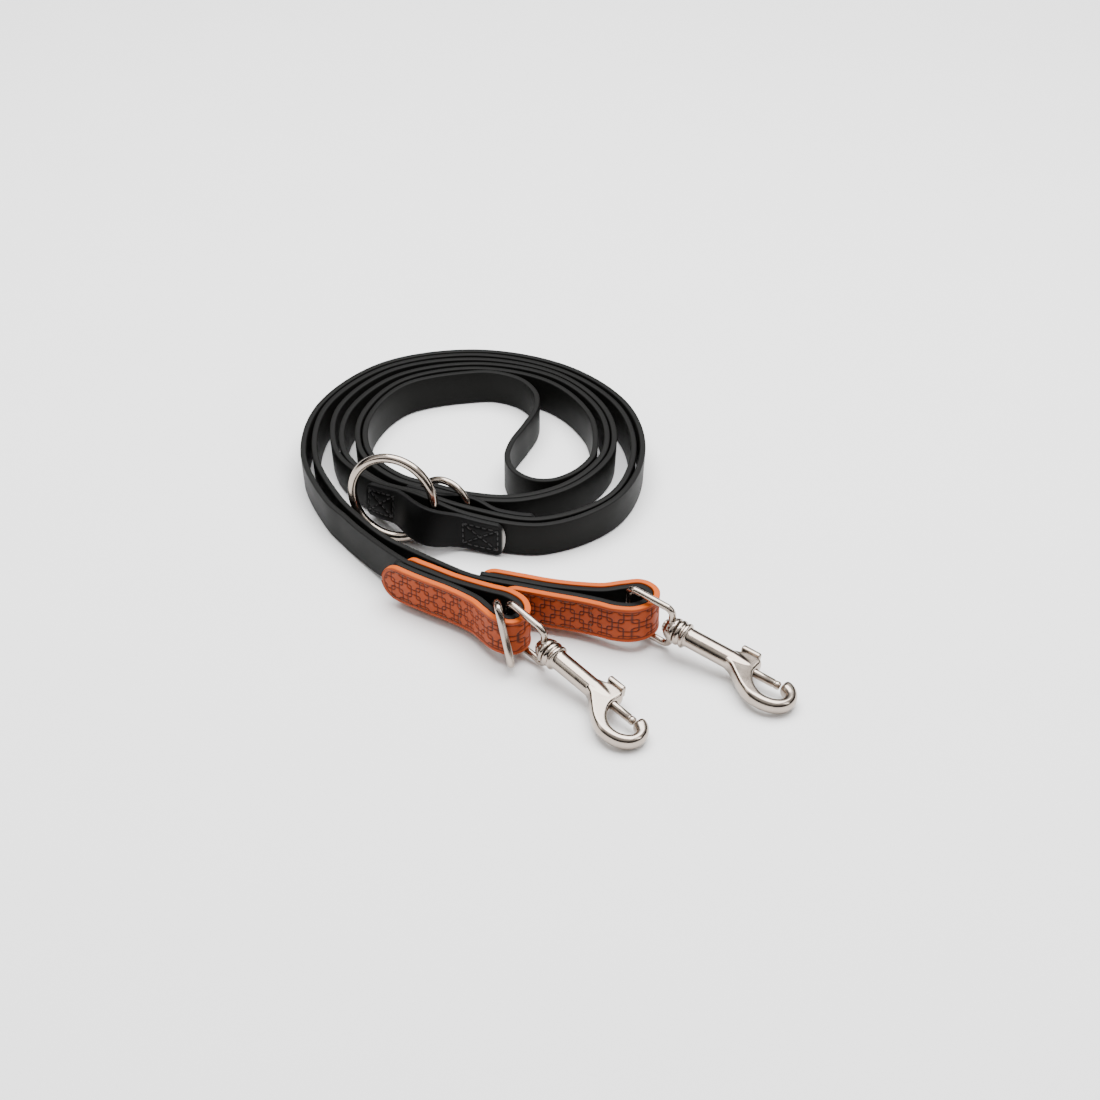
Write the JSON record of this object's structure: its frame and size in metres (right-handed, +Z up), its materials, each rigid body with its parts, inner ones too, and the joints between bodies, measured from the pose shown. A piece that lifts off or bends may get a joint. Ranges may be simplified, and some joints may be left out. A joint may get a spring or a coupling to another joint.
{
  "type": "training leash",
  "caption": "Long flat dog training leash, wound up on its edge, with a swivel bolt snap in a leather-covered loop at each end, a D-ring and loose rings in sewn keepers.",
  "frame": {"origin": "middle of the footprint, on the floor the strap stands on", "axes": "+Z up; +Y from the snaps towards the back of the coil; +X to the right, seen from the snaps"},
  "size_m": [0.2076, 0.2681, 0.0416],
  "materials": {
    "coated_webbing": "satin black coating over webbing",
    "keeper_webbing": "satin black coating over webbing",
    "orange_leather": "embossed leather",
    "nickel_plate": "polished nickel plate",
    "spring_steel": "drawn wire"
  },
  "bodies": {
    "leash": {"main_strap": "coated_webbing", "ring_keeper_1": "keeper_webbing", "ring_keeper_2": "keeper_webbing", "leather_cover_1": "orange_leather", "leather_cover_2": "orange_leather"},
    "ring_1": {"ring_1": "nickel_plate"},
    "ring_2": {"ring_2": "nickel_plate"},
    "dee_ring": {"dee_ring": "nickel_plate"},
    "swivel_1": {"swivel_eye_1": "nickel_plate", "swivel_rivet_1": "nickel_plate"},
    "snap_1": {"snap_body_1": "nickel_plate", "bolt_spring_1": "spring_steel"},
    "bolt_1": {"snap_bolt_1": "nickel_plate", "thumb_knob_1": "nickel_plate"},
    "swivel_2": {"swivel_eye_2": "nickel_plate", "swivel_rivet_2": "nickel_plate"},
    "snap_2": {"snap_body_2": "nickel_plate", "bolt_spring_2": "spring_steel"},
    "bolt_2": {"snap_bolt_2": "nickel_plate", "thumb_knob_2": "nickel_plate"}
  },
  "joints": [
    {"name": "ring_1_turn", "type": "hinge", "parent": "leash", "child": "ring_1", "pos_m": [-0.06014, 0.00624, 0.0211], "axis": [-0.33, -0.9372, 0.1132], "continuous": true},
    {"name": "ring_2_turn", "type": "hinge", "parent": "leash", "child": "ring_2", "pos_m": [-0.0384, 0.01185, 0.0136], "axis": [-0.4707, -0.8778, 0.0889], "continuous": true},
    {"name": "dee_ring_turn", "type": "hinge", "parent": "leash", "child": "dee_ring", "pos_m": [-0.0121, -0.076, 0.01445], "axis": [-0.9706, -0.1829, -0.1564], "range_deg": [-15, 1]},
    {"name": "snap_1_swing", "type": "hinge", "parent": "leash", "child": "swivel_1", "pos_m": [-0.00945, -0.07058, 0.01585], "axis": [-0.0127, -0.2244, 0.9744], "range_deg": [-10, 0]},
    {"name": "snap_1_swivel", "type": "hinge", "parent": "swivel_1", "child": "snap_1", "pos_m": [0.00675, -0.08735, 0.0122], "axis": [0.6863, -0.7107, -0.1547], "continuous": true},
    {"name": "snap_1_bolt_slide", "type": "slide", "parent": "snap_1", "child": "bolt_1", "axis": [0.6863, -0.7107, -0.1547], "range_m": [-0.0085, 0], "stiffness_N_per_m": 250, "springref_m": 0.004, "deforming": ["bolt_spring_1"]},
    {"name": "snap_2_swing", "type": "hinge", "parent": "leash", "child": "swivel_2", "pos_m": [0.03825, -0.06145, 0.01609], "axis": [0.0395, -0.2225, 0.9741], "range_deg": [-15, 12]},
    {"name": "snap_2_swivel", "type": "hinge", "parent": "swivel_2", "child": "snap_2", "pos_m": [0.0578, -0.07415, 0.0124], "axis": [0.8284, -0.5379, -0.1564], "continuous": true},
    {"name": "snap_2_bolt_slide", "type": "slide", "parent": "snap_2", "child": "bolt_2", "axis": [0.8284, -0.5379, -0.1564], "range_m": [-0.0085, 0], "stiffness_N_per_m": 250, "springref_m": 0.004, "deforming": ["bolt_spring_2"]}
  ]
}
